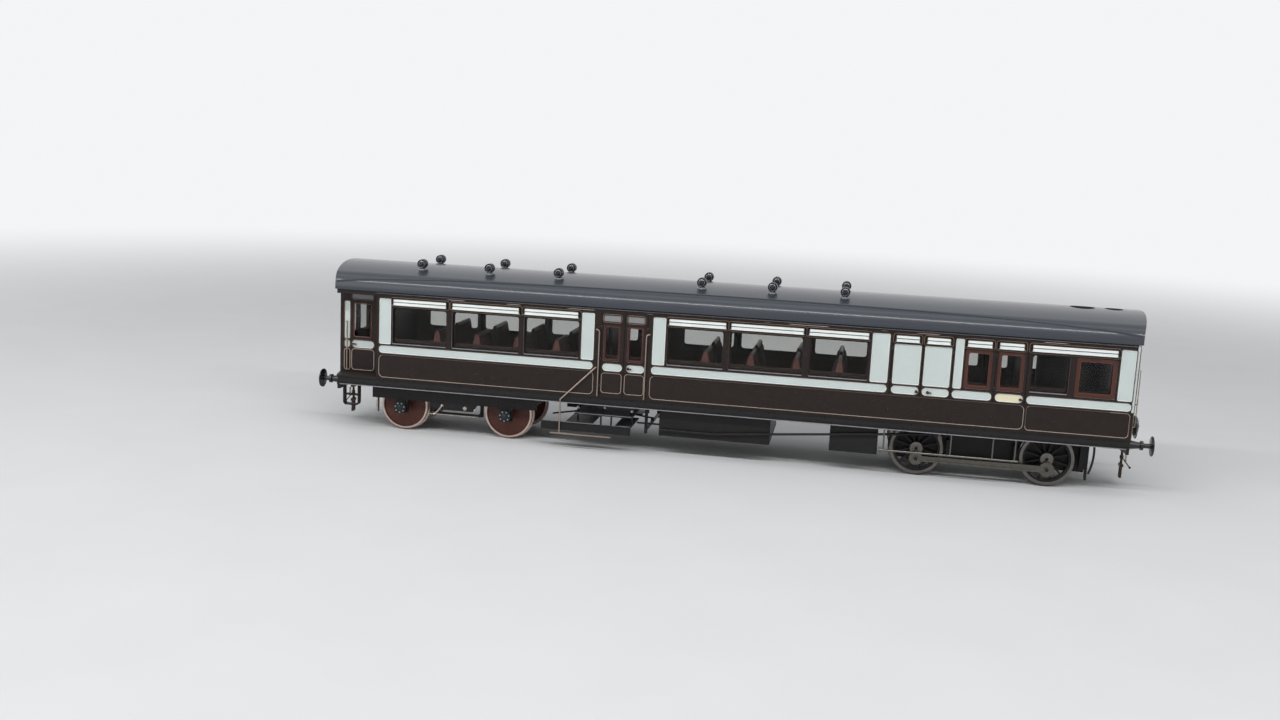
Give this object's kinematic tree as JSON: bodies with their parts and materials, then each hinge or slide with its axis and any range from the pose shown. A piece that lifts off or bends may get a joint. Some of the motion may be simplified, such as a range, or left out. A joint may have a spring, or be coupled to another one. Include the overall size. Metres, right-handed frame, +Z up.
{
  "type": "model railway steam railmotor coach",
  "caption": "Fine-scale model of a panelled steam railmotor coach on a coupled motor bogie and a trailing bogie with wooden disc wheels.",
  "frame": {"origin": "under the middle of the coach, level with the lowest points of the wheel flanges", "axes": "+X along the coach towards the motor end, +Y towards the far side, +Z up"},
  "size_m": [0.4264, 0.0618, 0.0919],
  "materials": {
    "plum_paint": "satin dark plum paint",
    "roof_paint": "satin dark grey paint",
    "black_paint": "satin black paint",
    "white_paint": "satin bluish white paint",
    "mahogany": "varnished mahogany",
    "wheel_wood": "varnished red-brown wood segments",
    "partition_wood": "dark varnished wood",
    "seat_cloth": "dull red cloth",
    "glass": "clear sheet",
    "bright_steel": "bare worn steel",
    "rail_metal": "bright nickel alloy wire",
    "dark_steel": "dull darkened steel"
  },
  "bodies": {
    "coach": {"body_side_near": "plum_paint", "body_side_far": "plum_paint", "window_bonnets": "white_paint", "droplight_frames": "mahogany", "glazing": "glass", "body_end_motor": "plum_paint", "body_end_trailing": "plum_paint", "vestibule_walls": "plum_paint", "partitions": "partition_wood", "recess_hoods": "plum_paint", "floor": "black_paint", "roof": "roof_paint", "rain_strips": "roof_paint", "roof_ventilators": "roof_paint", "seats": "seat_cloth", "boiler": "black_paint", "underframe": "black_paint", "water_tank_long": "black_paint", "water_tank_short": "black_paint", "truss_rods": "black_paint", "brake_rigging": "black_paint", "buffers": "black_paint", "grab_rails": "rail_metal", "door_handles": "rail_metal", "folding_steps": "black_paint", "step_linkage": "rail_metal", "end_steps": "black_paint", "gong": "black_paint", "feed_pipes": "dark_steel", "end_hoses": "black_paint", "drawhooks": "dark_steel"},
    "coupling_left": {"screw_coupling_left": "dark_steel"},
    "coupling_right": {"screw_coupling_right": "dark_steel"},
    "trailing_bogie": {"trailing_bogie_frame": "black_paint", "trailing_axleboxes": "black_paint", "trailing_brake_gear": "dark_steel", "trailing_guard_irons": "black_paint"},
    "trailing_axle_outer": {"trailing_axle_outer": "bright_steel", "trailing_wheel_centres_outer": "wheel_wood"},
    "trailing_axle_inner": {"trailing_axle_inner": "bright_steel", "trailing_wheel_centres_inner": "wheel_wood"},
    "motor_bogie": {"motor_bogie_frame": "black_paint", "motor_guard_irons": "black_paint", "motor_brake_gear": "dark_steel"},
    "driving_axle_inner": {"driving_tyres_inner": "bright_steel", "driving_centres_inner": "black_paint"},
    "driving_axle_outer": {"driving_tyres_outer": "bright_steel", "driving_centres_outer": "black_paint"},
    "rod_near": {"coupling_rod_near": "bright_steel"},
    "rod_far": {"coupling_rod_far": "bright_steel"}
  },
  "joints": [
    {"name": "trailing_bogie_swivel", "type": "hinge", "parent": "coach", "child": "trailing_bogie", "pos_m": [-0.138, 0, 0.0229], "axis": [0, 0, 1], "range_deg": [-4, 4]},
    {"name": "motor_bogie_swivel", "type": "hinge", "parent": "coach", "child": "motor_bogie", "pos_m": [0.1334, 0, 0.0229], "axis": [0, 0, 1], "range_deg": [-4, 4]},
    {"name": "trailing_axle_outer_spin", "type": "hinge", "parent": "trailing_bogie", "child": "trailing_axle_outer", "pos_m": [-0.1667, 0, 0.0136], "axis": [0, 1, 0], "continuous": true},
    {"name": "trailing_axle_inner_spin", "type": "hinge", "parent": "trailing_bogie", "child": "trailing_axle_inner", "pos_m": [-0.1093, 0, 0.0136], "axis": [0, 1, 0], "continuous": true},
    {"name": "driving_axle_inner_spin", "type": "hinge", "parent": "motor_bogie", "child": "driving_axle_inner", "pos_m": [0.1019, 0, 0.014], "axis": [0, 1, 0], "continuous": true},
    {"name": "driving_axle_outer_spin", "type": "hinge", "parent": "motor_bogie", "child": "driving_axle_outer", "pos_m": [0.1649, 0, 0.014], "axis": [0, 1, 0], "continuous": true},
    {"name": "rod_near_pin", "type": "hinge", "parent": "driving_axle_inner", "child": "rod_near", "pos_m": [0.1019, -0.02, 0.0093], "axis": [0, 1, 0], "continuous": true},
    {"name": "rod_far_pin", "type": "hinge", "parent": "driving_axle_inner", "child": "rod_far", "pos_m": [0.1066, 0.02, 0.014], "axis": [0, 1, 0], "continuous": true},
    {"name": "coupling_left_swing", "type": "hinge", "parent": "coach", "child": "coupling_left", "pos_m": [-0.2034, 0, 0.0251], "axis": [0, 1, 0], "range_deg": [0, 70]},
    {"name": "coupling_right_swing", "type": "hinge", "parent": "coach", "child": "coupling_right", "pos_m": [0.2034, 0, 0.0251], "axis": [0, 1, 0], "range_deg": [-70, 0]}
  ],
  "couplings": [
    {"joint": "driving_axle_outer_spin", "follows": "driving_axle_inner_spin", "ratio": 1},
    {"joint": "rod_near_pin", "follows": "driving_axle_inner_spin", "ratio": -1},
    {"joint": "rod_far_pin", "follows": "driving_axle_inner_spin", "ratio": -1}
  ]
}
